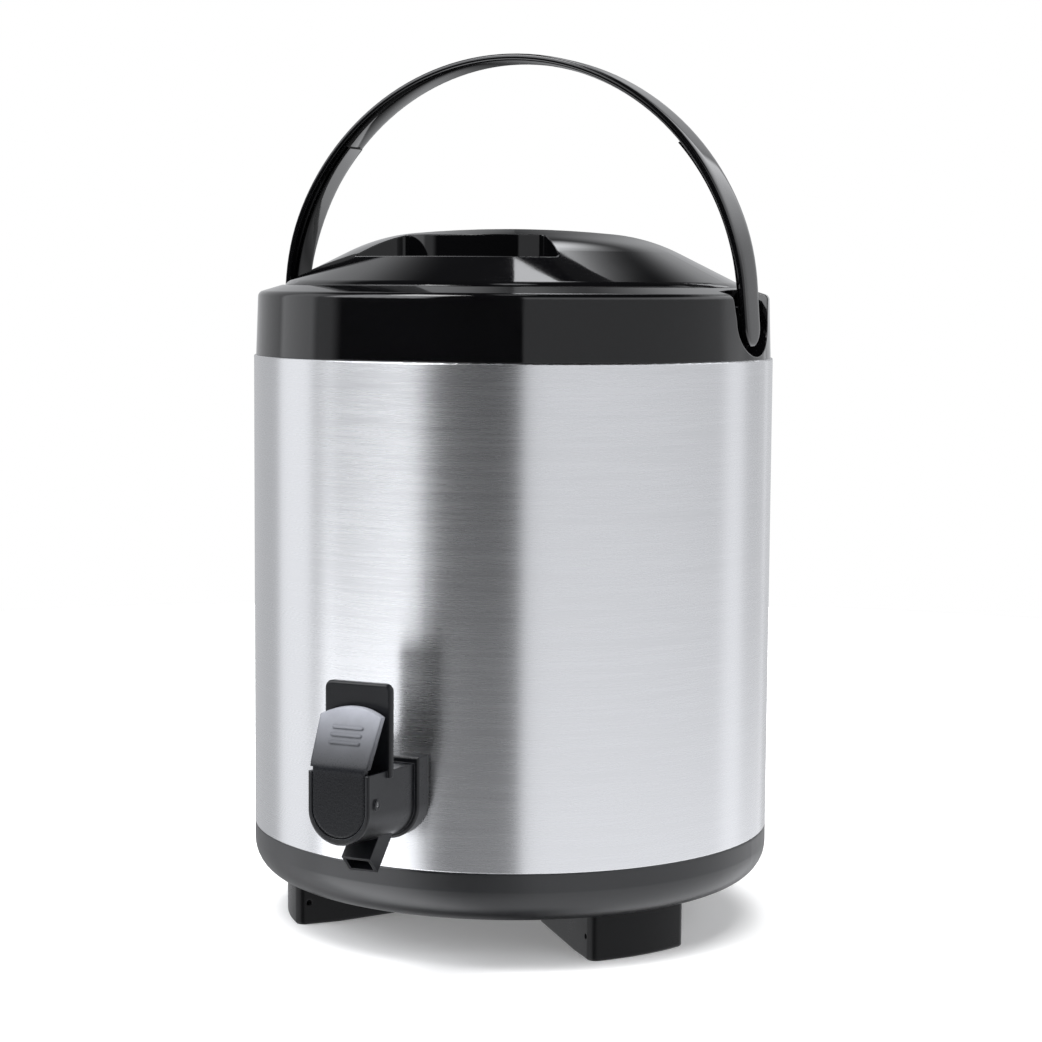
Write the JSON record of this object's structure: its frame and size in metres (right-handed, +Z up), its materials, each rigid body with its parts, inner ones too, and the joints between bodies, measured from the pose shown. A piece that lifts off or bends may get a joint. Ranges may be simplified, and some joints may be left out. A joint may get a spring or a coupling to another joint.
{
  "type": "insulated beverage dispenser",
  "caption": "Insulated stainless steel drink barrel with a black collar and domed lift-out lid, arched bail handle, front pull tap with slanted spout and three feet.",
  "frame": {"origin": "on the barrel's vertical axis, in the plane its three feet stand on", "axes": "+Z up, the tap faces -Y, the handle pivots lie on the X axis"},
  "size_m": [0.256, 0.3125, 0.4256],
  "materials": {
    "gloss_black": "polished",
    "satin_black": "satin",
    "tap_black": "fine grained",
    "shell_steel": "brushed round the barrel",
    "tank_steel": "bright",
    "foam": "cellular",
    "plug_white": "satin",
    "silicone": "matte",
    "black_rubber": "matte",
    "fastener_steel": "bright",
    "nut_plastic": "satin",
    "spring_steel": "bright"
  },
  "bodies": {
    "barrel": {"base_pan": "satin_black", "foot_left": "satin_black", "foot_right": "satin_black", "foot_rear": "satin_black", "foot_screws": "fastener_steel", "outer_shell": "shell_steel", "inner_liner": "tank_steel", "insulation": "foam", "neck_seal": "silicone", "collar": "gloss_black", "tap_body": "tap_black", "shell_gasket": "black_rubber", "tank_gasket": "silicone", "shank_nut": "nut_plastic", "lever_pin": "fastener_steel", "stem_seal": "silicone", "return_spring": "spring_steel"},
    "handle": {"handle": "gloss_black", "handle_pins": "fastener_steel"},
    "lid": {"lid_cover": "gloss_black", "lid_plug": "plug_white", "lid_filling": "foam", "lid_gasket": "silicone", "lid_screws": "fastener_steel"},
    "lever": {"tap_lever": "tap_black"},
    "valve": {"valve_stem": "nut_plastic", "valve_disc": "silicone"}
  },
  "joints": [
    {"name": "handle_swing", "type": "hinge", "parent": "barrel", "child": "handle", "pos_m": [0, 0, 0.2945], "axis": [1, 0, 0], "range_deg": [-34, 34]},
    {"name": "lid_lift", "type": "slide", "parent": "barrel", "child": "lid", "axis": [0, 0, 1], "range_m": [0, 0.02]},
    {"name": "lever_pull", "type": "hinge", "parent": "barrel", "child": "lever", "pos_m": [0, -0.177, 0.087], "axis": [1, 0, 0], "range_deg": [0, 25], "stiffness_Nm_per_rad": 0.0576, "springref_deg": -21.49},
    {"name": "valve_slide", "type": "slide", "parent": "barrel", "child": "valve", "axis": [0, 1, 0], "range_m": [0, 0.0035], "deforming": ["return_spring"]}
  ],
  "couplings": [
    {"joint": "valve_slide", "follows": "lever_pull", "m_per_rad": 0.008}
  ]
}
